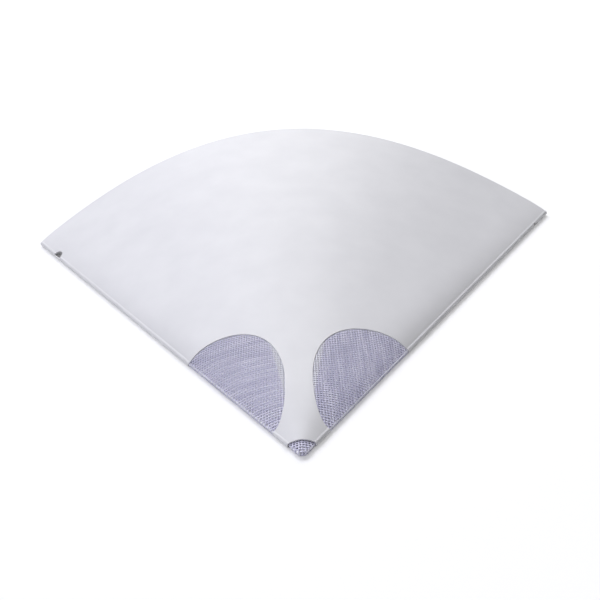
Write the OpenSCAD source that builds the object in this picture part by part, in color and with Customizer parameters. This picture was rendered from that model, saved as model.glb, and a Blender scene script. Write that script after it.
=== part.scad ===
// Paper cone strainer, folded flat and sprung a little open.
// A white coated-paper cone lies on its back. Two straight creases run from the tip to the rim,
// an egg-shaped window is cut across each crease, and a woven gauze cone glued inside closes the
// windows and makes the tip. Every panel is a cone about the tip, so that it could be cut from
// one flat blank.

/* [Cone] */
// Length of a crease, from the tip to the rim
slant = 160; // [130:1:210]
// Angle between a crease and the middle of the cone, seen from above
crease_angle = 35.3; // [34:0.1:42]
// How far the middle of the front rim stands above the creases
mouth_rise = 28.6; // [10:0.2:36]
// Shape of the front panel: 0 is a plain arch, 1 runs out flat at the creases, less is steeper
crease_flatness = -0.02; // [-0.2:0.01:0.8]
// How far the arch leans to the left, as a share of half the width
bow_lean = 0.025; // [-0.1:0.005:0.1]

/* [Paper] */
// Thickness of the coated paper
paper_t = 0.3; // [0.2:0.05:0.35]
// Outer radius of a folded crease at the tip
crease_tip_r = 0.75; // [0.75:0.05:1.2]
// Outer radius of a folded crease at the rim, where the fold springs open
crease_rim_r = 0.95; // [0.75:0.05:1.6]
// How far the crease is rolled past its top, which leaves a fine bead along it
bead_turn = 20; // [5:1:35]
// Where the paper is cut off straight across, short of the tip
tip_cut = 4; // [3.1:0.1:6]
// Half of the glued overlap at the middle of the back, as an angle about the tip
seam_half_angle = 3; // [2:0.25:4]

/* [Windows] */
// Start of a window on the crease, from the tip
window_near = 10.7; // [9:0.1:15]
// End of a window on the crease, from the tip
window_far = 50.4; // [44:0.1:58]
// Distance from the tip at which a window is widest
window_wide_at = 28.3; // [24:0.1:34]
// Widest reach of a window to each side of its crease, as an angle about the tip
window_half_angle = 28.8; // [22:0.1:30]

/* [Punched holes] */
// Radius of the hole that is punched through each folded crease
hole_r = 3; // [2.6:0.1:4]
// Distance of the left hole's centre from the rim, along the crease
left_hole_from_rim = 16; // [9:0.5:24]
// Distance of the right hole's centre from the rim, along the crease
right_hole_from_rim = 12; // [9:0.5:24]

/* [Gauze] */
// How far the gauze reaches past the windows, under the paper
glue_margin = 6; // [3:0.5:10]
// Gap that the film of glue fills between gauze and paper
glue_t = 0.06; // [0.05:0.01:0.08]
// Thickness of the gauze beside a thread
gauze_t = 0.12; // [0.08:0.01:0.15]
// Height of a thread's ridge above the gauze, on each face
ridge_h = 0.06; // [0.04:0.01:0.08]
// Lengthwise threads between a crease and the middle of a panel
threads_per_half_panel = 6; // [4:1:6]
// Width of a lengthwise thread as a share of the space from thread to thread
thread_share = 0.3; // [0.2:0.02:0.5]
// Space from one cross thread to the next
cross_pitch = 5.4; // [5.3:0.1:7]
// Width of a cross thread
cross_thread_w = 1.8; // [1:0.1:2.4]
// Length of the rounded nose of the gauze
nose_len = 1.3; // [1.2:0.1:3]

/* [Hidden] */

rise_share = mouth_rise / slant;
crease_end = 180 + bead_turn;
// The front panel is bowed, so it is a little wider on the blank than it looks from above
front_stretch = 1.043;
seam_ramp_angle = 1.4;
flap_edge_angle = 0.3;
gauze_reach = window_far + glue_margin;
gauze_depth = paper_t + glue_t;

// Slack in a comparison, and the narrowest column beside the seam, in degrees
EDGE_SLACK = 0.001;
LEAST_COLUMN = 0.2;

// Columns run from the tip to the rim: how finely each stretch of the section is drawn
WINDOW_COLUMNS = 15;
HOLE_COLUMNS = 4;
MIDDLE_COLUMNS = 6;
CREASE_COLUMNS = 8;

// Stations round the section. Each is [panel, place]: the front by its share of the half width,
// a crease by its turn from the table upwards, the back by its angle from the middle.
FRONT = 0;
RIGHT_CREASE = 1;
LEFT_CREASE = 2;
BACK = 3;

function front_height(share) =
    let (leant = share + bow_lean * (1 - share * share))
    rise_share * ((1 - crease_flatness) * cos(90 * leant)
    + crease_flatness * (1 + cos(180 * leant)) / 2);

// A crease is rolled looser towards the rim
function fold_r(r) = crease_tip_r + (crease_rim_r - crease_tip_r) * r / slant;

function front_point(share, r, bend_r) =
    let (
        rise = front_height(share),
        flat = sqrt(1 - rise * rise),
        turn = crease_angle * share,
        inset = bend_r * sin(crease_end)
    )
    [
        r * flat * sin(turn) + share * inset * cos(crease_angle),
        r * flat * cos(turn) - abs(share) * inset * sin(crease_angle),
        r * rise + fold_r(r) - bend_r * cos(crease_end)
    ];

function crease_point(side, turn, r, bend_r) = [
    side * (r * sin(crease_angle) + bend_r * sin(turn) * cos(crease_angle)),
    r * cos(crease_angle) - bend_r * sin(turn) * sin(crease_angle),
    fold_r(r) - bend_r * cos(turn)
];

function back_point(turn, r, bend_r, lift) = [r * sin(turn), r * cos(turn), fold_r(r) - bend_r + lift];

// A point of the section at distance r from the tip, depth below the outer face
function section_point(station, r, depth, lift, bend_share = 1) =
    let (bend_r = (fold_r(r) - depth) * bend_share)
    station[0] == FRONT ? front_point(station[1], r, bend_r)
    : station[0] == RIGHT_CREASE ? crease_point(1, station[1], r, bend_r)
    : station[0] == LEFT_CREASE ? crease_point(-1, station[1], r, bend_r)
    : back_point(station[1], r, bend_r, lift * bend_share);

// Angle about the tip from the middle of the cone, seen from above
function plan_angle(station) =
    station[0] == FRONT ? crease_angle * station[1]
    : station[0] == BACK ? station[1]
    : crease_angle;

// Angle about the tip from the nearest crease, as it would be on the flat blank
function blank_angle(station) =
    station[0] == FRONT ? (1 - abs(station[1])) * crease_angle * front_stretch
    : station[0] == BACK ? crease_angle - abs(station[1])
    : 0;

// The glued seam: the left flap lies under the right one, which climbs onto it
function outer_lift(turn) =
    turn <= seam_half_angle ? 0
    : turn <= seam_half_angle + flap_edge_angle
        ? paper_t * (turn - seam_half_angle) / flap_edge_angle
    : turn >= seam_half_angle + seam_ramp_angle ? 0
    : paper_t * (seam_half_angle + seam_ramp_angle - turn) / (seam_ramp_angle - flap_edge_angle);

function inner_lift(turn) =
    turn <= -seam_half_angle ? 0
    : turn <= flap_edge_angle - seam_half_angle
        ? paper_t * (turn + seam_half_angle) / flap_edge_angle
    : turn <= seam_half_angle + flap_edge_angle ? paper_t
    : outer_lift(turn);

function outer_lift_at(station) = station[0] == BACK ? outer_lift(station[1]) : 0;
function inner_lift_at(station) = station[0] == BACK ? inner_lift(station[1]) : 0;

// The window is an egg about the crease, narrow towards the tip
function window_radius(angle, side) =
    let (
        share = min(1, angle / window_half_angle),
        middle = ln(window_near * window_far) / 2,
        lean = ln(window_wide_at) - middle,
        half = ln(window_far / window_near) / 2
    )
    exp(middle + lean * share * share + side * half * sqrt(1 - share * share));

function in_window(r, angle) =
    angle < window_half_angle && r > window_radius(angle, -1) && r < window_radius(angle, 1);

// The punched hole is round on the folded sheet, so it is measured along the paper
left_hole_at = slant - left_hole_from_rim;
right_hole_at = slant - right_hole_from_rim;
hole_at = (left_hole_at + right_hole_at) / 2;
function on_right(station) =
    station[0] == RIGHT_CREASE || (station[0] != LEFT_CREASE && station[1] > 0);
function from_crease(station) =
    station[0] == FRONT
        ? fold_r(hole_at) * (crease_end - 90) * PI / 180 + hole_at * blank_angle(station) * PI / 180
    : station[0] == BACK
        ? fold_r(hole_at) * PI / 2 + hole_at * blank_angle(station) * PI / 180
    : fold_r(hole_at) * abs(station[1] - 90) * PI / 180;
function hole_radius(station, side) =
    (on_right(station) ? right_hole_at : left_hole_at)
    + side * sqrt(max(0, hole_r * hole_r - pow(from_crease(station), 2)));

function reversed(list) = [for (i = [len(list) - 1 : -1 : 0]) list[i]];
function triangle(a, b, c) = a == b || b == c || a == c ? [] : [[a, b, c]];
function quad(a, b, c, d) = concat(triangle(a, b, c), triangle(a, c, d));

// Blank angles of the paper's columns in half a panel, from the crease to the middle
function hole_angles(start) =
    let (reach = hole_r - start)
    reach <= 0 ? []
    : [for (i = [1 : HOLE_COLUMNS]) reach * sin(90 * i / HOLE_COLUMNS) / hole_at * 180 / PI];
function half_panel_angles(start, full, last) = concat(
    hole_angles(start),
    [for (i = [1 : WINDOW_COLUMNS]) window_half_angle * sin(90 * i / WINDOW_COLUMNS)],
    [for (i = [1 : last]) window_half_angle + (full - window_half_angle) * i / MIDDLE_COLUMNS]
);

front_start = fold_r(hole_at) * (crease_end - 90) * PI / 180;
back_start = fold_r(hole_at) * PI / 2;
front_full = crease_angle * front_stretch;
front_shares = [for (a = half_panel_angles(front_start, front_full, MIDDLE_COLUMNS - 1)) 1 - a / front_full];
seam_room = crease_angle - seam_half_angle - seam_ramp_angle;
back_turns = [
    for (a = half_panel_angles(back_start, crease_angle, 0))
    if (a < seam_room - LEAST_COLUMN) crease_angle - a
];
crease_turns = [for (i = [0 : CREASE_COLUMNS]) crease_end * i / CREASE_COLUMNS];

// Where the seam bends, from left to right
seam_turns = [
    -seam_half_angle, flap_edge_angle - seam_half_angle, 0, seam_half_angle,
    seam_half_angle + flap_edge_angle, seam_half_angle + seam_ramp_angle
];

// Once round the paper: up over the right crease, back across the front and home under the back
paper_stations = concat(
    [for (t = reversed(back_turns)) [BACK, t]],
    [for (t = crease_turns) [RIGHT_CREASE, t]],
    [for (s = front_shares) [FRONT, s]],
    [[FRONT, 0]],
    [for (s = reversed(front_shares)) [FRONT, -s]],
    [for (t = reversed(crease_turns)) [LEFT_CREASE, t]],
    [for (t = back_turns) [BACK, -t]],
    [for (t = seam_turns) [BACK, t]]
);

// Six knots on each column: tip cut, the two ends of the window, those of the hole, and rim
KNOTS = 6;
function paper_knots(station) =
    let (angle = blank_angle(station))
    [
        tip_cut / cos(plan_angle(station)), window_radius(angle, -1), window_radius(angle, 1),
        hole_radius(station, -1), hole_radius(station, 1), slant
    ];

module paper_cone() {
    count = len(paper_stations);
    points = [
        for (s = paper_stations, r = paper_knots(s), face = [0, 1])
        section_point(s, r, face * paper_t, face == 0 ? outer_lift_at(s) : inner_lift_at(s))
    ];
    no_window = [for (s = paper_stations) blank_angle(s) >= window_half_angle - EDGE_SLACK];
    no_hole = [for (s = paper_stations) from_crease(s) >= hole_r - EDGE_SLACK];
    // A knot that closes an opening is the same point as the knot before it
    function knot(column, k, face) =
        let (merged = (k == 2 && no_window[column]) || (k == 4 && no_hole[column]) ? k - 1 : k)
        (column * KNOTS + merged) * 2 + face;
    faces = [
        for (a = [0 : count - 1])
        let (b = (a + 1) % count)
        each concat(
            [
                for (k = [0, 2, 4])
                each quad(knot(b, k, 0), knot(b, k + 1, 0), knot(a, k + 1, 0), knot(a, k, 0))
            ],
            [
                for (k = [0, 2, 4])
                each quad(knot(a, k + 1, 1), knot(b, k + 1, 1), knot(b, k, 1), knot(a, k, 1))
            ],
            quad(knot(a, 0, 0), knot(a, 0, 1), knot(b, 0, 1), knot(b, 0, 0)),
            quad(knot(a, 5, 0), knot(b, 5, 0), knot(b, 5, 1), knot(a, 5, 1)),
            no_window[a] && no_window[b] ? [] : concat(
                quad(knot(a, 1, 0), knot(b, 1, 0), knot(b, 1, 1), knot(a, 1, 1)),
                quad(knot(a, 2, 0), knot(a, 2, 1), knot(b, 2, 1), knot(b, 2, 0))
            ),
            no_hole[a] && no_hole[b] ? [] : concat(
                quad(knot(a, 3, 0), knot(b, 3, 0), knot(b, 3, 1), knot(a, 3, 1)),
                quad(knot(a, 4, 0), knot(a, 4, 1), knot(b, 4, 1), knot(b, 4, 0))
            )
        )
    ];
    color([0.93, 0.93, 0.95])
        translate([0, -slant / 2, 0])
        polyhedron(points = points, faces = faces, convexity = 10);
}

// Lengthwise threads: each has a ridge between two edges, and gauze or a gap lies between edges
EDGE = 0;
RIDGE = 1;
PLAIN = 2;
half_thread = thread_share / threads_per_half_panel / 2;
function half_panel_threads(middle) = concat(
    [[1 - half_thread, EDGE]],
    [
        for (i = [threads_per_half_panel - 1 : -1 : 1], part = [1, 0, -1])
        [i / threads_per_half_panel + part * half_thread, part == 0 ? RIDGE : EDGE]
    ],
    middle
);
front_threads = half_panel_threads([[half_thread, EDGE]]);
seam_edge = (seam_half_angle + seam_ramp_angle) / crease_angle;
back_threads = [for (t = half_panel_threads([])) if ((t[0] - seam_edge) * crease_angle > LEAST_COLUMN) t];
gauze_seam_turns = [
    -seam_half_angle - seam_ramp_angle, -seam_half_angle - flap_edge_angle, 0,
    seam_half_angle + flap_edge_angle, seam_half_angle + seam_ramp_angle
];

// Once round the gauze, each station with its kind
gauze_columns = concat(
    [for (t = reversed(back_threads)) [[BACK, crease_angle * t[0]], t[1]]],
    [for (t = crease_turns) [[RIGHT_CREASE, t], PLAIN]],
    [for (t = front_threads) [[FRONT, t[0]], t[1]]],
    [[[FRONT, 0], RIDGE]],
    [for (t = reversed(front_threads)) [[FRONT, -t[0]], t[1]]],
    [for (t = reversed(crease_turns)) [[LEFT_CREASE, t], PLAIN]],
    [for (t = back_threads) [[BACK, -crease_angle * t[0]], t[1]]],
    [for (t = gauze_seam_turns) [[BACK, t], PLAIN]]
);

// The gauze climbs over the seam as a sheet, so it leaves a little air beside the flap's edge
function gauze_lift(station) =
    station[0] != BACK || abs(station[1]) > seam_half_angle + seam_ramp_angle - EDGE_SLACK
        ? 0
        : paper_t;

// Cross threads: rows in pairs, the near and the far edge of each thread
cross_count = floor((gauze_reach - window_near) / cross_pitch) + 1;
NOSE_ROWS = 3;
nose_rows = [for (i = [1 : NOSE_ROWS]) nose_len * (1 - cos(90 * i / NOSE_ROWS))];
cross_rows = [
    for (i = [cross_count - 1 : -1 : 0], edge = [1, 0])
    gauze_reach - i * cross_pitch - edge * cross_thread_w
];
gauze_rows = concat(nose_rows, cross_rows);
cavity_row = len(nose_rows) - 1;

function nose(r) = r >= nose_len ? 1 : sqrt(1 - pow(1 - r / nose_len, 2));

function gauze_point(column, r, face) =
    let (
        station = column[0],
        ridge = column[1] == RIDGE ? ridge_h : 0,
        depth = gauze_depth + ridge_h + (face == 0 ? -ridge : gauze_t + ridge)
    )
    section_point(station, r, depth, gauze_lift(station), nose(r));

module filter_gauze() {
    count = len(gauze_columns);
    rows = len(gauze_rows);
    outer = [for (r = gauze_rows, c = gauze_columns) gauze_point(c, r, 0)];
    inner = [for (r = gauze_rows, c = gauze_columns) gauze_point(c, r, 1)];
    points = concat(outer, inner, [[0, 0, fold_r(0)], [0, nose_len * cos(crease_angle), fold_r(nose_len)]]);
    tip = 2 * count * rows;
    cap = tip + 1;
    function vertex(row, column, face) = face * count * rows + row * count + column;
    // A gap lies between two threads, between two cross threads and wholly in a window
    function is_gap(row, a, b) =
        row > cavity_row && (row - cavity_row) % 2 == 0
        && gauze_columns[a][1] == EDGE && gauze_columns[b][1] == EDGE
        && gauze_columns[a][0][0] == gauze_columns[b][0][0]
        && in_window(
            (gauze_rows[row] + gauze_rows[row + 1]) / 2,
            (blank_angle(gauze_columns[a][0]) + blank_angle(gauze_columns[b][0])) / 2
        );
    faces = [
        for (a = [0 : count - 1])
        let (b = (a + 1) % count)
        each concat(
            [[vertex(0, a, 0), tip, vertex(0, b, 0)]],
            [[vertex(cavity_row, a, 1), vertex(cavity_row, b, 1), cap]],
            quad(
                vertex(rows - 1, a, 0), vertex(rows - 1, b, 0),
                vertex(rows - 1, b, 1), vertex(rows - 1, a, 1)
            ),
            [
                for (row = [0 : rows - 2])
                let (
                    oa = vertex(row, a, 0), ob = vertex(row, b, 0),
                    fa = vertex(row + 1, a, 0), fb = vertex(row + 1, b, 0),
                    ia = vertex(row, a, 1), ib = vertex(row, b, 1),
                    ja = vertex(row + 1, a, 1), jb = vertex(row + 1, b, 1)
                )
                each is_gap(row, a, b)
                    ? concat(
                        quad(oa, ob, ib, ia), quad(fb, fa, ja, jb),
                        quad(fa, oa, ia, ja), quad(ob, fb, jb, ib)
                    )
                    : concat(quad(oa, ob, fb, fa), row < cavity_row ? [] : quad(ia, ja, jb, ib))
            ]
        )
    ];
    color([0.75, 0.74, 0.84])
        translate([0, -slant / 2, 0])
        polyhedron(points = points, faces = faces, convexity = 10);
}

paper_cone();
filter_gauze();
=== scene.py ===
# %% [markdown]
# # A paper cone strainer, cut flat and folded
#
# Paint is poured through this strainer. It is one sheet of coated white paper, cut to a fan,
# folded at two creases and glued to itself down the back. Two egg-shaped windows are cut across
# the creases, and a cone of woven gauze glued inside closes them and makes the tip. Here it lies
# on its back, sprung a little open, on a white table.
#
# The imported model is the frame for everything: the pieces made here take the place of its two
# solids and keep their form and size.

import math

import bmesh
import bpy
from mathutils import Matrix, Vector


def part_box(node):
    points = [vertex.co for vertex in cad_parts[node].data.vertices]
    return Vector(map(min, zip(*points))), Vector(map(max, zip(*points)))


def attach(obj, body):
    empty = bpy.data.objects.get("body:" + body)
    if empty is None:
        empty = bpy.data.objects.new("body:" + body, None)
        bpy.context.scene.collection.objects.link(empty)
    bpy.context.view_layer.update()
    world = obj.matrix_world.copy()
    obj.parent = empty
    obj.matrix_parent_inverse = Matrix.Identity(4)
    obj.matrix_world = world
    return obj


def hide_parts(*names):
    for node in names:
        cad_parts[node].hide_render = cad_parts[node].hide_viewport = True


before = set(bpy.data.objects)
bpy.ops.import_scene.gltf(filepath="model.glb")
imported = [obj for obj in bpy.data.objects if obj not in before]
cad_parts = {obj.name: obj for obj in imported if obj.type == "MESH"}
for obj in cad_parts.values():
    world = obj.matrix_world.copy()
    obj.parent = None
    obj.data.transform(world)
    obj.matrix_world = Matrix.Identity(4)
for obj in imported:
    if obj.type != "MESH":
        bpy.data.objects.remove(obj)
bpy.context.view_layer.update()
paper_low, paper_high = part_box("paper_cone")
gauze_low, gauze_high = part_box("filter_gauze")

# %% [markdown]
# ## Sizes of the real thing
#
# Lengths are in metres and angles in radians. The slant and the rise of the mouth are read from
# the frame, so that the pieces stay with the solids. The rest are sizes that a maker would give:
# the angle of the blank, the paper, the creases, the windows and the two punched holes.
#
# The creases need two sizes of turn. BEAD_TURN is how far the solid's crease rolls over, and with
# the top of the box it gives the rise. CREASE_TURN is what this sheet's crease rolls, which stops
# a little short of its top. The shoulder is the low swell that the stiff paper makes beside the
# crease, where it would sooner spring open than stay folded. Each hole has its distance from the
# tip, its middle's height above the outermost line of the crease, how far it is cut above and
# below that, and half its length along the crease.

# %% Name the sizes
MM = 0.001
TIP_Y = gauze_low.y
SLANT = paper_high.y - TIP_Y
PAPER_T = 0.3 * MM
FLAP_GLUE_T = 0.02 * MM
FLAP_LIFT = PAPER_T + FLAP_GLUE_T
CREASE_TIP_R = 0.75 * MM
CREASE_RIM_R = 0.95 * MM
CREASE_ANGLE = math.radians(35.3)
CREASE_TURN = math.radians(175)
BEAD_TURN = math.radians(200)
SHOULDER_H = 0.85 * MM
SHOULDER_W = 5 * MM
SHOULDER_AT = 45 * MM
CREASE_FLATNESS = -0.02
BOW_LEAN = 0.025
FRONT_STRETCH = 1.043
MOUTH_RISE = paper_high.z - CREASE_RIM_R * (1 - math.cos(BEAD_TURN))
TIP_CUT = 4 * MM
SEAM_HALF = math.radians(3)
SEAM_RAMP = math.radians(1.4)
FLAP_EDGE = math.radians(0.3)
WINDOW_NEAR = 10.7 * MM
WINDOW_FAR = 50.4 * MM
WINDOW_WIDE_AT = 28.3 * MM
WINDOW_HALF = math.radians(28.8)
LEFT_HOLE = {
    "at": SLANT - 16 * MM, "up": 0.4 * MM, "high": 2.3 * MM, "low": 0.1 * MM, "long": 2.4 * MM
}
RIGHT_HOLE = {
    "at": SLANT - 12 * MM, "up": -0.4 * MM, "high": 1.2 * MM, "low": 1.0 * MM, "long": 1.3 * MM
}
HOLE_AT = (LEFT_HOLE["at"] + RIGHT_HOLE["at"]) / 2
NOSE_LEN = 1.3 * MM
FRONT_FULL = CREASE_ANGLE * FRONT_STRETCH
print("slant", round(SLANT / MM, 1), "rise", round(MOUTH_RISE / MM, 2))

# %% [markdown]
# ## Formulas as node trees
#
# Geometry Nodes can bend a flat sheet by a formula, with one Math node for each step. Written
# node by node, such a tree is hard to read. A small wrapper around a socket helps: adding or
# multiplying two wrapped sockets makes the Math node and wires it up, so that the tree is written
# as the formula it stands for.

# %% Write formulas with sockets
class Wire:
    """A socket of a node tree that can be used in a formula."""

    def __init__(self, tree, socket):
        self.tree = tree
        self.socket = socket

    def math(self, operation, *values):
        node = self.tree.nodes.new("ShaderNodeMath")
        node.operation = operation
        for slot, value in zip(node.inputs, values):
            if isinstance(value, Wire):
                self.tree.links.new(value.socket, slot)
            else:
                slot.default_value = value
        return Wire(self.tree, node.outputs[0])

    def __add__(self, other):
        return self.math("ADD", self, other)

    def __radd__(self, other):
        return self.math("ADD", other, self)

    def __sub__(self, other):
        return self.math("SUBTRACT", self, other)

    def __rsub__(self, other):
        return self.math("SUBTRACT", other, self)

    def __mul__(self, other):
        return self.math("MULTIPLY", self, other)

    def __rmul__(self, other):
        return self.math("MULTIPLY", other, self)

    def __truediv__(self, other):
        return self.math("DIVIDE", self, other)

    def sin(self):
        return self.math("SINE", self)

    def cos(self):
        return self.math("COSINE", self)

    def root(self):
        return self.math("SQRT", self)

    def size(self):
        return self.math("ABSOLUTE", self)

    def side(self):
        return self.math("SIGN", self)

    def rounded(self):
        return self.math("ROUND", self)

    def log(self):
        return self.math("LOGARITHM", self, math.e)

    def exp(self):
        return self.math("EXPONENT", self)

    def turn_from(self, other):
        return self.math("ARCTAN2", self, other)

    def above(self, other):
        return self.math("GREATER_THAN", self, other)

    def at_least(self, other):
        return self.math("MAXIMUM", self, other)

    def at_most(self, other):
        return self.math("MINIMUM", self, other)


def split(tree, vector):
    """The three parts of a vector socket, wrapped."""
    node = tree.nodes.new("ShaderNodeSeparateXYZ")
    tree.links.new(vector, node.inputs[0])
    return [Wire(tree, out) for out in node.outputs]


def joined(tree, x, y, z):
    """A vector socket made from three wrapped numbers."""
    node = tree.nodes.new("ShaderNodeCombineXYZ")
    for slot, value in zip(node.inputs, (x, y, z)):
        if isinstance(value, Wire):
            tree.links.new(value.socket, slot)
        else:
            slot.default_value = value
    return node.outputs[0]


def mixed(tree, kind, factor, no, yes):
    """A socket that is no where factor is 0, and yes where it is 1."""
    node = tree.nodes.new("ShaderNodeMix")
    node.data_type = kind
    factor_slot, *slots = (slot for slot in node.inputs if slot.enabled)
    tree.links.new(factor.socket, factor_slot)
    for slot, value in zip(slots, (no, yes)):
        if isinstance(value, bpy.types.NodeSocket):
            tree.links.new(value, slot)
        else:
            slot.default_value = value
    return next(out for out in node.outputs if out.enabled)


# %% [markdown]
# ## The fold
#
# Every point of the sheet has a place on a map. The first map coordinate counts panels from the
# middle of the front: from 0 to 1 across half the front, from 1 to 2 round the crease and from
# 2 to 3 across half the back, with a minus sign on the left. The second is the distance from the
# tip, and the third is the depth below the outer face.
#
# One node group folds the map. The front is a cone bowed upwards, the crease is a tight roll that
# leaves a fine bead along the edge to catch the light, and the back is flat, with one flap of the
# seam lifted onto the other. Beside the crease the front first swells into a low shoulder and then
# runs on into the bow, so that a soft grey line follows the bright bead. Paper and gauze use the
# same group, so the gauze follows the paper everywhere.

# %% Build the fold as a node group
def hump(share):
    """Rises from 0 to 1 where share is 1, and then fades away."""
    return share * (1 - share).exp()


FOLD_SIZES = {
    "Crease Angle": CREASE_ANGLE,
    "Rise Share": MOUTH_RISE / SLANT,
    "Crease Flatness": CREASE_FLATNESS,
    "Bow Lean": BOW_LEAN,
    "Slant": SLANT,
    "Crease Radius at Tip": CREASE_TIP_R,
    "Crease Radius at Rim": CREASE_RIM_R,
    "Crease Turn": CREASE_TURN,
    "Shoulder Height": SHOULDER_H,
    "Shoulder Width": SHOULDER_W,
    "Shoulder Peak": SHOULDER_AT,
    "Flap Lift": FLAP_LIFT,
    "Nose Length": NOSE_LEN,
}


def fold_group():
    tree = bpy.data.node_groups.new("Fold a cone strainer", "GeometryNodeTree")
    face = tree.interface
    face.new_socket("Map Place", in_out="INPUT", socket_type="NodeSocketVector")
    face.new_socket("Both Flaps Climb", in_out="INPUT", socket_type="NodeSocketFloat")
    for name, value in FOLD_SIZES.items():
        socket = face.new_socket(name, in_out="INPUT", socket_type="NodeSocketFloat")
        socket.default_value = value
    face.new_socket("Folded Place", in_out="OUTPUT", socket_type="NodeSocketVector")
    inward = tree.nodes.new("NodeGroupInput")
    outward = tree.nodes.new("NodeGroupOutput")
    (angle, rise, flatness, lean, slant, tip_r, rim_r, turn_full, shoulder_h, shoulder_w,
     shoulder_at, flap_lift, nose_len) = (Wire(tree, inward.outputs[name]) for name in FOLD_SIZES)
    across, r, depth = split(tree, inward.outputs["Map Place"])
    side = across.side()
    panel = across.size()
    radius = tip_r + (rim_r - tip_r) * r / slant

    # The crease closes to a rounded nose near the tip
    short = 1 - (r / nose_len).at_most(1)
    bend = (radius - depth) * (1 - short * short).at_least(0).root()

    # Front: a cone bowed up by the rise
    share = across.at_least(-1).at_most(1)
    leant = share + lean * (1 - share * share)
    bow = rise * (
        (1 - flatness) * (leant * (math.pi / 2)).cos()
        + flatness * (1 + (leant * math.pi).cos()) / 2
    )
    level = (1 - bow * bow).root() * r
    inset = bend * turn_full.sin()
    front_x = level * (share * angle).sin() + share * inset * angle.cos()
    front_y = level * (share * angle).cos() - share.size() * inset * angle.sin()
    from_crease = (1 - share.size()) * angle * r
    shoulder = shoulder_h * hump(from_crease / shoulder_w) * hump(r / shoulder_at)
    front_z = r * bow + radius - bend * turn_full.cos() + shoulder

    # Crease: a roll of constant width
    turn = (2 - panel).at_least(0).at_most(1) * turn_full
    crease_x = side * (r * angle.sin() + bend * turn.sin() * angle.cos())
    crease_y = r * angle.cos() - bend * turn.sin() * angle.sin()
    crease_z = radius - bend * turn.cos()

    # Back: flat, with the right flap lifted onto the left one
    back = (3 - panel) * angle
    near_seam = (SEAM_HALF + SEAM_RAMP - back) / (SEAM_RAMP - FLAP_EDGE)
    climbs = side.above(0).at_least(Wire(tree, inward.outputs["Both Flaps Climb"]))
    lift = near_seam.at_least(0).at_most(1) * climbs * flap_lift
    back_x = side * r * back.sin()
    back_y = r * back.cos()
    back_z = radius - bend + lift

    on_front = joined(tree, front_x, front_y, front_z)
    on_crease = joined(tree, crease_x, crease_y, crease_z)
    on_back = joined(tree, back_x, back_y, back_z)
    folded = mixed(tree, "VECTOR", panel.above(1), on_front, on_crease)
    folded = mixed(tree, "VECTOR", panel.above(2), folded, on_back)
    x, y, z = split(tree, folded)
    tree.links.new(joined(tree, x, y + TIP_Y, z), outward.inputs["Folded Place"])
    return tree


FOLD = fold_group()
print("fold group:", len(FOLD.nodes), "nodes")

# %% [markdown]
# ## Materials
#
# Coated paper is white, a little glossy and never quite even: the fibres flock into faint clouds,
# and the coating has a fine tooth. Noise on object coordinates gives both, the clouds in the
# colour and the tooth in the bump.
#
# The gauze is a bluish white nylon. Its threads are never drawn evenly, so fine streaks run along
# them, and a noise stretched along one axis gives these. A paler colour is painted at the inner
# edge of each window and along the creases. It stands partly for glue that fills the mesh there,
# and partly for painted light: the lit paper behind the gauze shining through at the window edges,
# and a painted highlight on the bead along the creases. The gauze carries an attribute that says
# how much of this paler colour a point has, and the material mixes by it.

# %% Make the paper and gauze materials
CLOUD_SCALE = 90
TOOTH_SCALE = 2200
TOOTH_HEIGHT = 0.02 * MM
WEFT_STREAKS = (90, 1200, 90)
WARP_STREAKS = (1000, 110, 90)
# A paler colour for glue, which is also painted light: see-through light at the window edges and a
# highlight along the creases.
GLUE_AND_LIGHT_MARK = "glue"
GLUE_AND_LIGHT_COLOUR = (0.87, 0.87, 0.94, 1)


def shader_node(tree, kind, **values):
    """A node with its sockets set by name; a wire value is linked."""
    node = tree.nodes.new(kind)
    for name, value in values.items():
        slot = node.inputs[name.replace("_", " ")]
        if isinstance(value, bpy.types.NodeSocket):
            tree.links.new(value, slot)
        else:
            slot.default_value = value
    return node


def ramp(tree, factor, stops):
    """A colour ramp over stops of (place, colour)."""
    node = tree.nodes.new("ShaderNodeValToRGB")
    tree.links.new(factor, node.inputs["Fac"])
    while len(node.color_ramp.elements) < len(stops):
        node.color_ramp.elements.new(0.5)
    for element, (place, colour) in zip(node.color_ramp.elements, stops):
        element.position = place
        element.color = (*colour, 1)
    return node.outputs["Color"]


def new_material(name):
    material = bpy.data.materials.new(name)
    material.use_nodes = True
    tree = material.node_tree
    return material, tree, tree.nodes["Principled BSDF"]


def coated_paper():
    material, tree, shader = new_material("coated_paper")
    place = tree.nodes.new("ShaderNodeTexCoord").outputs["Object"]
    clouds = shader_node(tree, "ShaderNodeTexNoise", Vector=place, Scale=CLOUD_SCALE, Detail=4)
    colour = ramp(tree, clouds.outputs["Fac"], [
        (0.3, (0.800, 0.799, 0.810)),
        (0.7, (0.840, 0.839, 0.848)),
    ])
    tooth = shader_node(tree, "ShaderNodeTexNoise", Vector=place, Scale=TOOTH_SCALE, Detail=3)
    bump = shader_node(
        tree, "ShaderNodeBump", Strength=0.25, Distance=TOOTH_HEIGHT,
        Height=tooth.outputs["Fac"],
    )
    tree.links.new(colour, shader.inputs["Base Color"])
    tree.links.new(bump.outputs["Normal"], shader.inputs["Normal"])
    shader.inputs["Roughness"].default_value = 0.5
    shader.inputs["Specular IOR Level"].default_value = 0.22
    return material


def streaks(tree, place, scale):
    """Noise drawn out along one axis, as uneven threads make it."""
    drawn = tree.nodes.new("ShaderNodeMapping")
    drawn.inputs["Scale"].default_value = scale
    tree.links.new(place, drawn.inputs["Vector"])
    noise = shader_node(tree, "ShaderNodeTexNoise", Vector=drawn.outputs[0], Scale=1, Detail=1)
    return noise.outputs["Fac"]


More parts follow.
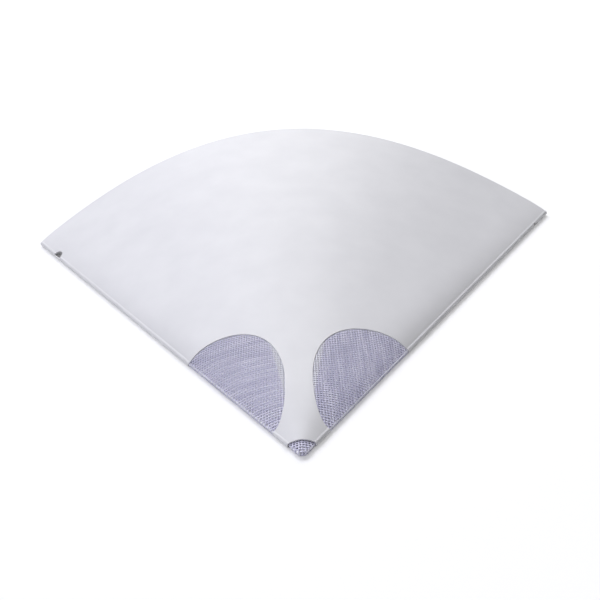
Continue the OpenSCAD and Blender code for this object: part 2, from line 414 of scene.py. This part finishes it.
def nylon_gauze():
    material, tree, shader = new_material("nylon_gauze")
    place = tree.nodes.new("ShaderNodeTexCoord").outputs["Object"]
    x, _, _ = split(tree, place)
    weft = streaks(tree, place, WEFT_STREAKS)
    warp = streaks(tree, place, WARP_STREAKS)
    woven = mixed(tree, "FLOAT", x.above(0.0), weft, warp)
    colour = ramp(tree, woven, [(0.35, (0.65, 0.635, 0.81)), (0.65, (0.83, 0.815, 0.965))])
    # Paler where glue and painted light are marked: see-through light at the window edges, a
    # painted highlight on the creases.
    mark = tree.nodes.new("ShaderNodeAttribute")
    mark.attribute_name = GLUE_AND_LIGHT_MARK
    mark = Wire(tree, mark.outputs["Fac"])
    colour = mixed(tree, "RGBA", mark, colour, GLUE_AND_LIGHT_COLOUR)
    tree.links.new(colour, shader.inputs["Base Color"])
    shader.inputs["Roughness"].default_value = 0.42
    return material


PAPER = coated_paper()
GAUZE = nylon_gauze()
print("materials:", PAPER.name, GAUZE.name)

# %% [markdown]
# ## The blank
#
# The blank is drawn flat, in map coordinates, as columns that run from the tip to the rim. Each
# column has six knots: the tip cut, the two ends of the window, the two ends of the punched hole
# and the rim. Outside a window or hole its two knots fall together, and the sheet closes. The
# columns stand closer together near the ends of the windows, where the outline turns, and across
# the holes. The left hole shows as a dark half moon above the crease, and the right one is little
# more than a nick in it, so each has its own place and size.

# %% Place the columns and knots
WINDOW_COLUMNS = 60
HOLE_COLUMNS = 16
PLAIN_COLUMNS = 20
CREASE_COLUMNS = 24
STRIP_ROWS = (6, 26, 4)


def across_front(angle):
    """Map coordinate of a point of the front, from its angle to the crease on the blank."""
    return 1 - angle / FRONT_FULL


def across_back(angle):
    return 2 + angle / CREASE_ANGLE


def ease(share):
    """A share of a quarter turn, as the share of its reach."""
    return math.sin(math.pi / 2 * share)


def half_panel_angles(full, hole_reach=0):
    """Angles from the crease at which half a panel has its columns."""
    hole = [hole_reach / HOLE_AT * i / HOLE_COLUMNS for i in range(1, HOLE_COLUMNS + 1)]
    window = [WINDOW_HALF * ease(i / WINDOW_COLUMNS) for i in range(1, WINDOW_COLUMNS + 1)]
    beyond = full - WINDOW_HALF
    plain = [WINDOW_HALF + beyond * i / PLAIN_COLUMNS for i in range(1, PLAIN_COLUMNS)]
    return sorted((hole if hole_reach else []) + window + plain)


def fold_r(r):
    """Outer radius of the crease, which is rolled looser towards the rim."""
    return CREASE_TIP_R + (CREASE_RIM_R - CREASE_TIP_R) * r / SLANT


FRONT_START = fold_r(HOLE_AT) * (CREASE_TURN - math.pi / 2)
BACK_START = fold_r(HOLE_AT) * math.pi / 2
HOLE_REACH = LEFT_HOLE["up"] + LEFT_HOLE["high"] - FRONT_START
SEAM_TURNS = (SEAM_HALF + SEAM_RAMP, SEAM_HALF + FLAP_EDGE, SEAM_HALF, 0, -SEAM_HALF)


def half_columns():
    """Map coordinates of the columns from the middle of the front to the end of a flap."""
    front = [across_front(a) for a in half_panel_angles(FRONT_FULL, HOLE_REACH)]
    crease = [1 + i / CREASE_COLUMNS for i in range(CREASE_COLUMNS + 1)]
    room = CREASE_ANGLE - SEAM_TURNS[0]
    back = [across_back(a) for a in half_panel_angles(CREASE_ANGLE) if a < room]
    flap = [3 - turn / CREASE_ANGLE for turn in SEAM_TURNS]
    return [0] + sorted(front) + crease + back + flap


def blank_angle(across):
    panel = abs(across)
    if panel < 1:
        return (1 - panel) * FRONT_FULL
    return max(0, panel - 2) * CREASE_ANGLE


def window_knots(across):
    """Where a column enters and leaves the window."""
    share = min(1, blank_angle(across) / WINDOW_HALF)
    middle = math.log(WINDOW_NEAR * WINDOW_FAR) / 2
    lean = (math.log(WINDOW_WIDE_AT) - middle) * share**2
    half = math.log(WINDOW_FAR / WINDOW_NEAR) / 2 * math.sqrt(1 - share**2)
    return math.exp(middle + lean - half), math.exp(middle + lean + half)


def up_the_fold(across):
    """Distance along the folded paper from the outermost line of the crease, at the holes."""
    panel = abs(across)
    if panel < 1:
        return FRONT_START + HOLE_AT * blank_angle(across)
    if panel > 2:
        return -BACK_START - HOLE_AT * blank_angle(across)
    return fold_r(HOLE_AT) * ((2 - panel) * CREASE_TURN - math.pi / 2)


def hole_knots(across):
    """Where a column enters and leaves the punched hole."""
    hole = RIGHT_HOLE if across > 0 else LEFT_HOLE
    away = up_the_fold(across) - hole["up"]
    share = min(1, abs(away) / hole["high" if away > 0 else "low"])
    half = hole["long"] * math.sqrt(1 - share**2)
    return hole["at"] - half, hole["at"] + half


def plan_angle(across):
    panel = abs(across)
    if panel < 1:
        return CREASE_ANGLE * panel
    return CREASE_ANGLE * min(1, 3 - panel)


half = half_columns()
COLUMNS = [-across for across in reversed(half[1:])] + half
print("columns:", len(COLUMNS))

# %% Draw the blank as a flat slab
# Places on the map reach 3, where a float steps by 2.4e-7. A merge distance under that step misses
# some pairs of points, and each pair left apart grows a wall inside the paper.
MERGE_WITHIN = 1e-6


def column_rows(across):
    """Distances from the tip at which a column has its points, one list for each strip."""
    near, far = window_knots(across)
    low, high = hole_knots(across)
    ends = [(TIP_CUT / math.cos(plan_angle(across)), near), (far, low), (high, SLANT)]
    return [
        [start + (end - start) * i / rows for i in range(rows + 1)]
        for (start, end), rows in zip(ends, STRIP_ROWS)
    ]


def in_fixed_order(sheet, name):
    """The mesh of a sheet. An extrusion leaves the order of its faces to chance; this doesn't."""
    points = sorted(sheet.verts, key=lambda v: tuple(v.co))
    number = {v: i for i, v in enumerate(points)}
    faces = []
    for f in sheet.faces:
        corners = [number[v] for v in f.verts]
        start = corners.index(min(corners))
        faces.append(corners[start:] + corners[:start])
    sharp = {tuple(sorted(number[v] for v in e.verts)) for e in sheet.edges if not e.smooth}
    mesh = bpy.data.meshes.new(name)
    mesh.from_pydata([v.co for v in points], [], sorted(faces))
    mesh.shade_smooth()
    for edge in mesh.edges:
        edge.use_edge_sharp = tuple(sorted(edge.vertices)) in sharp
    return mesh


def draw_blank():
    sheet = bmesh.new()
    grid = [
        [[sheet.verts.new((across, r, 0)) for r in strip] for strip in column_rows(across)]
        for across in COLUMNS
    ]
    for left, right in zip(grid, grid[1:]):
        for strip_left, strip_right in zip(left, right):
            for i in range(len(strip_left) - 1):
                corners = (strip_left[i], strip_right[i], strip_right[i + 1], strip_left[i + 1])
                sheet.faces.new(corners)
    bmesh.ops.remove_doubles(sheet, verts=sheet.verts, dist=MERGE_WITHIN)
    bmesh.ops.dissolve_degenerate(sheet, edges=sheet.edges, dist=1e-8)
    front = list(sheet.faces)
    copied = bmesh.ops.extrude_face_region(sheet, geom=front, use_keep_orig=True)
    for element in copied["geom"]:
        if isinstance(element, bmesh.types.BMVert):
            element.co.z = 1
    for edge in sheet.edges:
        flat_faces = [f for f in edge.link_faces if abs(f.normal.z) > 0.5]
        edge.smooth = len(flat_faces) != 1
    mesh = in_fixed_order(sheet, "folded_paper")
    sheet.free()
    return mesh


blank = draw_blank()
print("blank:", len(blank.vertices), "points,", len(blank.polygons), "faces")

# %% [markdown]
# ## Folding the blank
#
# A Geometry Nodes modifier holds the fold. It reads each point's place on the map, sends it
# through the fold group and sets the point there. A slow noise on the map lifts the bowed front by
# a few hundredths of a millimetre here and there, because real paper is never a perfect cone.
#
# The map's third coordinate counts depth below the outer face, so it runs inwards where the real
# thing's thickness is counted outwards. A map with one axis turned round mirrors whatever goes
# through it, and a mirrored solid is inside out. Each tree therefore ends by flipping its faces,
# and a signed volume above zero shows that they now point outwards. The result is turned into a
# plain mesh, and the modifier goes.

# %% Fold the paper
UNEVENNESS = 0.05 * MM
WAVES_ACROSS = 2.5
WAVES_PER_METRE = 30


def tree_with_geometry(name, inputs):
    """A modifier's tree with a geometry input and output and named numbers."""
    tree = bpy.data.node_groups.new(name, "GeometryNodeTree")
    face = tree.interface
    face.new_socket("Geometry", in_out="INPUT", socket_type="NodeSocketGeometry")
    for label in inputs:
        face.new_socket(label, in_out="INPUT", socket_type="NodeSocketFloat")
    face.new_socket("Geometry", in_out="OUTPUT", socket_type="NodeSocketGeometry")
    return tree, tree.nodes.new("NodeGroupInput"), tree.nodes.new("NodeGroupOutput")


def fold_place(tree, across, r, depth, both_flaps, unevenness=0.0):
    """The folded place of a map place, as a vector socket."""
    fold = tree.nodes.new("GeometryNodeGroup")
    fold.node_tree = FOLD
    tree.links.new(joined(tree, across, r, depth), fold.inputs["Map Place"])
    fold.inputs["Both Flaps Climb"].default_value = both_flaps
    noise = tree.nodes.new("ShaderNodeTexNoise")
    wave_place = joined(tree, across * WAVES_ACROSS, r * WAVES_PER_METRE, 0.0)
    tree.links.new(wave_place, noise.inputs["Vector"])
    noise.inputs["Scale"].default_value = 1.0
    noise.inputs["Detail"].default_value = 1.0
    wave = Wire(tree, noise.outputs["Fac"]) - 0.5
    front_only = (1 - across.size()).at_least(0)
    x, y, z = split(tree, fold.outputs["Folded Place"])
    lift = wave * unevenness * 2 * (front_only * 4).at_most(1) * (r / SLANT)
    return joined(tree, x, y, z + lift)


def finish_tree(tree, geometry, material, outward):
    """Turns the faces outwards, and ends a tree in Realize Instances and Set Material."""
    flip = tree.nodes.new("GeometryNodeFlipFaces")
    realize = tree.nodes.new("GeometryNodeRealizeInstances")
    paint = tree.nodes.new("GeometryNodeSetMaterial")
    paint.inputs["Material"].default_value = material
    tree.links.new(geometry, flip.inputs["Mesh"])
    tree.links.new(flip.outputs[0], realize.inputs[0])
    tree.links.new(realize.outputs[0], paint.inputs["Geometry"])
    tree.links.new(paint.outputs[0], outward.inputs[0])


def fold_paper_tree():
    tree, inward, outward = tree_with_geometry("Fold the paper", ("Thickness", "Unevenness"))
    place = tree.nodes.new("GeometryNodeInputPosition").outputs[0]
    across, r, face = split(tree, place)
    depth = face * Wire(tree, inward.outputs["Thickness"])
    uneven = Wire(tree, inward.outputs["Unevenness"])
    move = tree.nodes.new("GeometryNodeSetPosition")
    tree.links.new(inward.outputs["Geometry"], move.inputs["Geometry"])
    tree.links.new(fold_place(tree, across, r, depth, 0.0, uneven), move.inputs["Position"])
    finish_tree(tree, move.outputs[0], PAPER, outward)
    return tree


def set_inputs(modifier, values):
    """Sets a modifier's named inputs by their sockets' identifiers."""
    for item in modifier.node_group.interface.items_tree:
        if item.in_out == "INPUT" and item.name in values:
            modifier[item.identifier] = values[item.name]


def made_plain(source, tree, values, name):
    """A plain mesh object made by a tree on source, which is then removed."""
    modifier = source.modifiers.new("Nodes", "NODES")
    modifier.node_group = tree
    set_inputs(modifier, values)
    depsgraph = bpy.context.evaluated_depsgraph_get()
    mesh = bpy.data.meshes.new_from_object(source.evaluated_get(depsgraph), depsgraph=depsgraph)
    bpy.data.objects.remove(source)
    mesh.name = name
    piece = bpy.data.objects.new(name, mesh)
    bpy.context.scene.collection.objects.link(piece)
    return piece


def volume(piece):
    """Signed volume in cubic millimetres, which is below zero if a closed piece is inside out."""
    shape = bmesh.new()
    shape.from_mesh(piece.data)
    signed = shape.calc_volume(signed=True)
    shape.free()
    return signed / MM**3


flat = bpy.data.objects.new("blank", blank)
bpy.context.scene.collection.objects.link(flat)
paper = made_plain(
    flat, fold_paper_tree(), {"Thickness": PAPER_T, "Unevenness": UNEVENNESS}, "folded_paper"
)
print("paper:", len(paper.data.polygons), "faces, size", [round(v, 4) for v in paper.dimensions])
print("paper volume:", round(volume(paper), 1), "mm3")

# %% [markdown]
# ## Weaving the gauze
#
# The gauze is woven square and cut to a fan before it is rolled into a cone, so its threads run
# straight across the flat fan and meet the creases at a slant. The tree lays two families of
# threads on the flat fan, cuts them to its outline and gives them a body while they are still
# straight. Then it lifts them over and under one another and folds them with the same group as
# the paper.
#
# Behind the paper the gauze lies flat against it. In the windows and past the tip cut nothing
# holds it back, so it stands out until it is level with the paper's face. Along each crease the
# gauze is pressed double and soaked with glue: one stout thread laid along the crease shows it,
# and carries the paper's bead on to the tip. The thread is coloured pale all along, which partly
# paints the bead's highlight.
#
# With threads of 0.2 mm radius, half the cloth's surface is 1.21 times its flat cut. Compares
# half the cloth's surface with its flat cut, and allows 1.6. Wider, flatter ones were tried: 0.25
# mm looked coarser than the photo, and 0.3 mm gave 1.63 and was given up.

# %% Lay the threads
TINY_R = 0.01 * MM
THREAD_PITCH = 0.72 * MM
THREAD_R = 0.2 * MM
THREAD_FLATNESS = 0.55
THREAD_SIDES = 3
WEAVE_LIFT = 0.04 * MM
GAUZE_DEPTH = 0.48 * MM
GAUZE_BULGE = 0.3 * MM
BULGE_EASE = 1 / 70
BULGE_START = 0.3
CREASE_THREAD_AT = 0.28 * MM
GAUZE_REACH = SLANT * 0.35
PAST_TIP = 4 * MM
# Where across a window the paler band of glue and painted see-through light starts, and where it
# is full.
GLUE_AND_LIGHT_START = 0.87
GLUE_AND_LIGHT_FULL = 0.9


def threads_of(tree, weft):
    """One family of threads, as straight curves that cover the flat fan."""
    half_count = math.ceil(GAUZE_REACH / THREAD_PITCH)
    low_count = math.ceil(PAST_TIP / THREAD_PITCH)
    along = (1, 0, 0) if weft else (0, 1, 0)
    start = GAUZE_REACH if weft else PAST_TIP
    line = tree.nodes.new("GeometryNodeCurvePrimitiveLine")
    line.inputs["Start"].default_value = [v * -start for v in along]
    line.inputs["End"].default_value = [v * GAUZE_REACH for v in along]
    fine = tree.nodes.new("GeometryNodeResampleCurve")
    fine.mode = "LENGTH"
    fine.inputs["Length"].default_value = THREAD_PITCH / 2
    tree.links.new(line.outputs[0], fine.inputs["Curve"])
    row = tree.nodes.new("GeometryNodeMeshLine")
    row.inputs["Count"].default_value = (low_count if weft else half_count) + half_count + 1
    row.inputs["Start Location"].default_value = (
        (0, -low_count * THREAD_PITCH, 0) if weft else (-half_count * THREAD_PITCH, 0, 0)
    )
    row.inputs["Offset"].default_value = (
        (0, THREAD_PITCH, 0) if weft else (THREAD_PITCH, 0, 0)
    )
    copies = tree.nodes.new("GeometryNodeInstanceOnPoints")
    tree.links.new(row.outputs[0], copies.inputs["Points"])
    tree.links.new(fine.outputs[0], copies.inputs["Instance"])
    real = tree.nodes.new("GeometryNodeRealizeInstances")
    tree.links.new(copies.outputs[0], real.inputs[0])
    return real.outputs[0]


def crease_threads(tree):
    """A straight curve along each crease of the flat fan."""
    both = tree.nodes.new("GeometryNodeJoinGeometry")
    for side in (-1, 1):
        along = Vector((side * math.sin(FRONT_FULL), math.cos(FRONT_FULL), 0))
        aside = Vector((side * math.cos(FRONT_FULL), -math.sin(FRONT_FULL), 0))
        line = tree.nodes.new("GeometryNodeCurvePrimitiveLine")
        line.inputs["Start"].default_value = aside * CREASE_THREAD_AT + along * NOSE_LEN / 4
        line.inputs["End"].default_value = aside * CREASE_THREAD_AT + along * GAUZE_REACH
        fine = tree.nodes.new("GeometryNodeResampleCurve")
        fine.mode = "LENGTH"
        fine.inputs["Length"].default_value = THREAD_PITCH / 2
        tree.links.new(line.outputs[0], fine.inputs["Curve"])
        tree.links.new(fine.outputs[0], both.inputs[0])
    return both.outputs[0]


def map_of_fan(tree, x, y):
    """Panel count, distance from the tip and back share of a point of the flat fan."""
    r = (x * x + y * y).root().at_least(TINY_R)
    run = x.turn_from(y).size() * r
    # Measured along the sheet: half the front, the roll of the crease, half the back
    past_front = run - r * FRONT_FULL
    crease_r = r * ((CREASE_RIM_R - CREASE_TIP_R) / SLANT) + CREASE_TIP_R
    short = 1 - (r / NOSE_LEN).at_most(1)
    roll = (crease_r - GAUZE_DEPTH) * (1 - short * short).at_least(0.01).root() * CREASE_TURN
    on_back = (past_front - roll) / (r * CREASE_ANGLE)
    panel = (
        (run / (r * FRONT_FULL)).at_most(1)
        + (past_front / roll).at_least(0).at_most(1)
        + on_back.at_least(0).at_most(1)
    )
    return panel, r, on_back


def window_shares(panel, r):
    """How far across a window a point lies, and how far inside the outline, from 0 to 1."""
    blank = (1 - panel).at_least(0) * FRONT_FULL + (panel - 2).at_least(0) * CREASE_ANGLE
    share = blank / WINDOW_HALF
    middle = math.log(WINDOW_NEAR * WINDOW_FAR) / 2
    lean = (math.log(WINDOW_WIDE_AT) - middle) * share * share
    along = (r.log() - middle - lean) / (math.log(WINDOW_FAR / WINDOW_NEAR) / 2)
    return share, 1 - (along * along + share * share).root()


def gauze_tree():
    tree, inward, outward = tree_with_geometry("Weave the gauze", GAUZE_SIZES)
    pitch, thread_r, flatness, weave_lift, bulge, reach = (
        Wire(tree, inward.outputs[name]) for name in GAUZE_SIZES
    )
    x, y, z = split(tree, tree.nodes.new("GeometryNodeInputPosition").outputs[0])
    panel, r, on_back = map_of_fan(tree, x, y)
    outside = r.above(reach).at_least(on_back.above(1))
    share, inside = window_shares(panel, r)
    plan = panel.at_most(3 - panel).at_most(1) * CREASE_ANGLE
    past_cut = (TIP_CUT - r * plan.cos()) / (2 * THREAD_PITCH)
    free = (inside / BULGE_EASE + BULGE_START).at_least(past_cut).at_least(0).at_most(1)
    # The paler band at the inner edge of each window: glue, and painted light from the lit paper
    # behind.
    glue = ((share - GLUE_AND_LIGHT_START) / (GLUE_AND_LIGHT_FULL - GLUE_AND_LIGHT_START)).at_least(0).at_most(1)
    glue = glue * r.above(WINDOW_NEAR)
    families = (
        (threads_of(tree, True), x, y, weave_lift, glue),
        (threads_of(tree, False), y, x, weave_lift * -1, glue),
        # The crease thread is pale all along: glue, and the bead's painted highlight.
        (crease_threads(tree), x, y, weave_lift * 0, glue.at_least(1)),
    )
    section = tree.nodes.new("GeometryNodeCurvePrimitiveCircle")
    section.inputs["Resolution"].default_value = THREAD_SIDES
    tree.links.new(thread_r.socket, section.inputs["Radius"])
    both = tree.nodes.new("GeometryNodeJoinGeometry")
    for threads, along, aside, crimp, glued in families:
        cut = tree.nodes.new("GeometryNodeDeleteGeometry")
        cut.domain = "POINT"
        tree.links.new(threads, cut.inputs["Geometry"])
        tree.links.new(outside.socket, cut.inputs["Selection"])
        solid = tree.nodes.new("GeometryNodeCurveToMesh")
        solid.inputs["Fill Caps"].default_value = True
        tree.links.new(cut.outputs[0], solid.inputs["Curve"])
        tree.links.new(section.outputs[0], solid.inputs["Profile Curve"])
        marked = tree.nodes.new("GeometryNodeStoreNamedAttribute")
        marked.data_type = "FLOAT"
        marked.inputs["Name"].default_value = GLUE_AND_LIGHT_MARK
        tree.links.new(solid.outputs[0], marked.inputs["Geometry"])
        tree.links.new(glued.socket, marked.inputs["Value"])
        over = ((along / pitch + (aside / pitch).rounded()) * math.pi).cos()
        depth = over * crimp + z * flatness - free * bulge + GAUZE_DEPTH
        move = tree.nodes.new("GeometryNodeSetPosition")
        tree.links.new(marked.outputs[0], move.inputs["Geometry"])
        across = panel * x.side()
        tree.links.new(fold_place(tree, across, r, depth, 1.0), move.inputs["Position"])
        tree.links.new(move.outputs[0], both.inputs[0])
    smooth = tree.nodes.new("GeometryNodeSetShadeSmooth")
    tree.links.new(both.outputs[0], smooth.inputs[0])
    finish_tree(tree, smooth.outputs[0], GAUZE, outward)
    return tree


GAUZE_SIZES = {
    "Pitch": THREAD_PITCH,
    "Thread Radius": THREAD_R,
    "Thread Flatness": THREAD_FLATNESS,
    "Weave Lift": WEAVE_LIFT,
    "Bulge": GAUZE_BULGE,
    "Reach": GAUZE_REACH,
}
loom = bpy.data.objects.new("loom", bpy.data.meshes.new("loom"))
bpy.context.scene.collection.objects.link(loom)
gauze = made_plain(loom, gauze_tree(), GAUZE_SIZES, "woven_gauze")
print("gauze:", len(gauze.data.polygons), "faces, size", [round(v, 4) for v in gauze.dimensions])
print("gauze volume:", round(volume(gauze), 1), "mm3")

# %% [markdown]
# ## Handing the pieces over
#
# Each piece rides on the object's one body and takes the place of its plain solid.

# %% Attach the pieces
for piece, node, slot in ((paper, "paper_cone", "coated_paper"), (gauze, "filter_gauze", "gauze")):
    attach(piece, "root")
    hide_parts(node)

# %% [markdown]
# ## Table and light
#
# The table is plain white. Four large soft lamps light it from a distance: two behind the cone,
# which are the brightest and throw the faint shadow forwards, one at the left and one in front.
# The left ones make the long gradient over the bow. A faint sky fills what they leave.
#
# To the camera, and in reflections, the table is lifted a little and the sky is white. Neither
# throws more light on the object for it, and the table keeps the object's shadow.

# %% Lay the table
FLOOR_SIZE = 6.0
FLOOR_LIFT = 0.28


def seen_directly(tree):
    """1 for rays from the camera, a reflection or glass, and 0 for rays that light things."""
    path = tree.nodes.new("ShaderNodeLightPath")
    seen = Wire(tree, path.outputs["Is Camera Ray"])
    seen = seen.at_least(Wire(tree, path.outputs["Is Glossy Ray"]))
    return seen.at_least(Wire(tree, path.outputs["Is Transmission Ray"]))


def white_table():
    material, tree, shader = new_material("white_table")
    shader.inputs["Base Color"].default_value = (0.8, 0.8, 0.8, 1)
    shader.inputs["Roughness"].default_value = 0.9
    shader.inputs["Specular IOR Level"].default_value = 0.0
    shader.inputs["Emission Color"].default_value = (1, 1, 1, 1)
    lift = seen_directly(tree) * FLOOR_LIFT
    tree.links.new(lift.socket, shader.inputs["Emission Strength"])
    return material


def flat_square(name, size, material):
    edge = size / 2
    mesh = bpy.data.meshes.new(name)
    corners = [(-edge, -edge, 0), (edge, -edge, 0), (edge, edge, 0), (-edge, edge, 0)]
    mesh.from_pydata(corners, [], [(0, 1, 2, 3)])
    mesh.materials.append(material)
    piece = bpy.data.objects.new(name, mesh)
    bpy.context.scene.collection.objects.link(piece)
    return piece


table = flat_square("table", FLOOR_SIZE, white_table())
print("table:", FLOOR_SIZE, "m")

# %% Hang the lamps and the sky
def area_lamp(name, target, azimuth, elevation, distance, size, power, colour):
    """A square lamp that faces target; azimuth 0 is the camera's side, and -90 the left."""
    az, el = math.radians(azimuth), math.radians(elevation)
    away = Vector((math.sin(az) * math.cos(el), -math.cos(az) * math.cos(el), math.sin(el)))
    lamp = bpy.data.lights.new(name, "AREA")
    lamp.size = size
    lamp.energy = power
    lamp.color = colour
    piece = bpy.data.objects.new(name, lamp)
    piece.location = Vector(target) + away * distance
    piece.rotation_euler = away.to_track_quat("Z", "Y").to_euler()
    bpy.context.scene.collection.objects.link(piece)
    return piece


LAMP_TARGET = (0, 0, 0.01)
LAMP_DISTANCE = 3.2
LAMP_SIZE = 2.2
WATTS = 120.0
SKY_LIGHT = 0.05
for name, azimuth, elevation, share, colour in (
    ("back", 180, 40, 0.62, (1.0, 1.0, 1.0)),
    ("left back", -135, 45, 0.42, (0.99, 1.0, 1.12)),
    ("left front", -45, 35, 0.12, (0.98, 0.99, 1.16)),
    ("front", 0, 45, 0.14, (1.0, 0.99, 1.0)),
):
    area_lamp(
        name, LAMP_TARGET, azimuth, elevation, LAMP_DISTANCE, LAMP_SIZE, WATTS * share, colour
    )
world = bpy.data.worlds.new("sky")
bpy.context.scene.world = world
world.use_nodes = True
sky = world.node_tree.nodes["Background"]
sky.inputs["Color"].default_value = (1, 1, 1, 1)
strength = seen_directly(world.node_tree) * (1 - SKY_LIGHT) + SKY_LIGHT
world.node_tree.links.new(strength.socket, sky.inputs["Strength"])

# %% [markdown]
# ## Camera
#
# The camera stands on the tip's side and looks down at the cone.

# %% Aim the camera
LENS = 48.0
SENSOR = 36.0
AIM = Vector((1.177, TIP_Y / MM + 75.693, 0)) * MM
CAMERA_AZIMUTH = math.radians(0.38)
CAMERA_ELEVATION = math.radians(28)
CAMERA_ROLL = math.radians(-3.66)
CAMERA_DISTANCE = 246.58 * MM


def aim_camera():
    camera = bpy.data.cameras.new("camera")
    camera.lens = LENS
    camera.sensor_width = SENSOR
    camera.clip_start = 0.01
    piece = bpy.data.objects.new("camera", camera)
    level_back = Vector((math.sin(CAMERA_AZIMUTH), -math.cos(CAMERA_AZIMUTH), 0))
    back = level_back * math.cos(CAMERA_ELEVATION) + Vector((0, 0, math.sin(CAMERA_ELEVATION)))
    right = Vector((math.cos(CAMERA_AZIMUTH), math.sin(CAMERA_AZIMUTH), 0))
    up = back.cross(right)
    level = Matrix((right, up, back)).transposed()
    piece.matrix_world = (
        Matrix.Translation(AIM + back * CAMERA_DISTANCE)
        @ (level @ Matrix.Rotation(CAMERA_ROLL, 3, "Z")).to_4x4()
    )
    bpy.context.scene.collection.objects.link(piece)
    bpy.context.scene.camera = piece


aim_camera()
bpy.context.scene.view_settings.view_transform = "Standard"
print("camera:", [round(v, 3) for v in bpy.context.scene.camera.location])
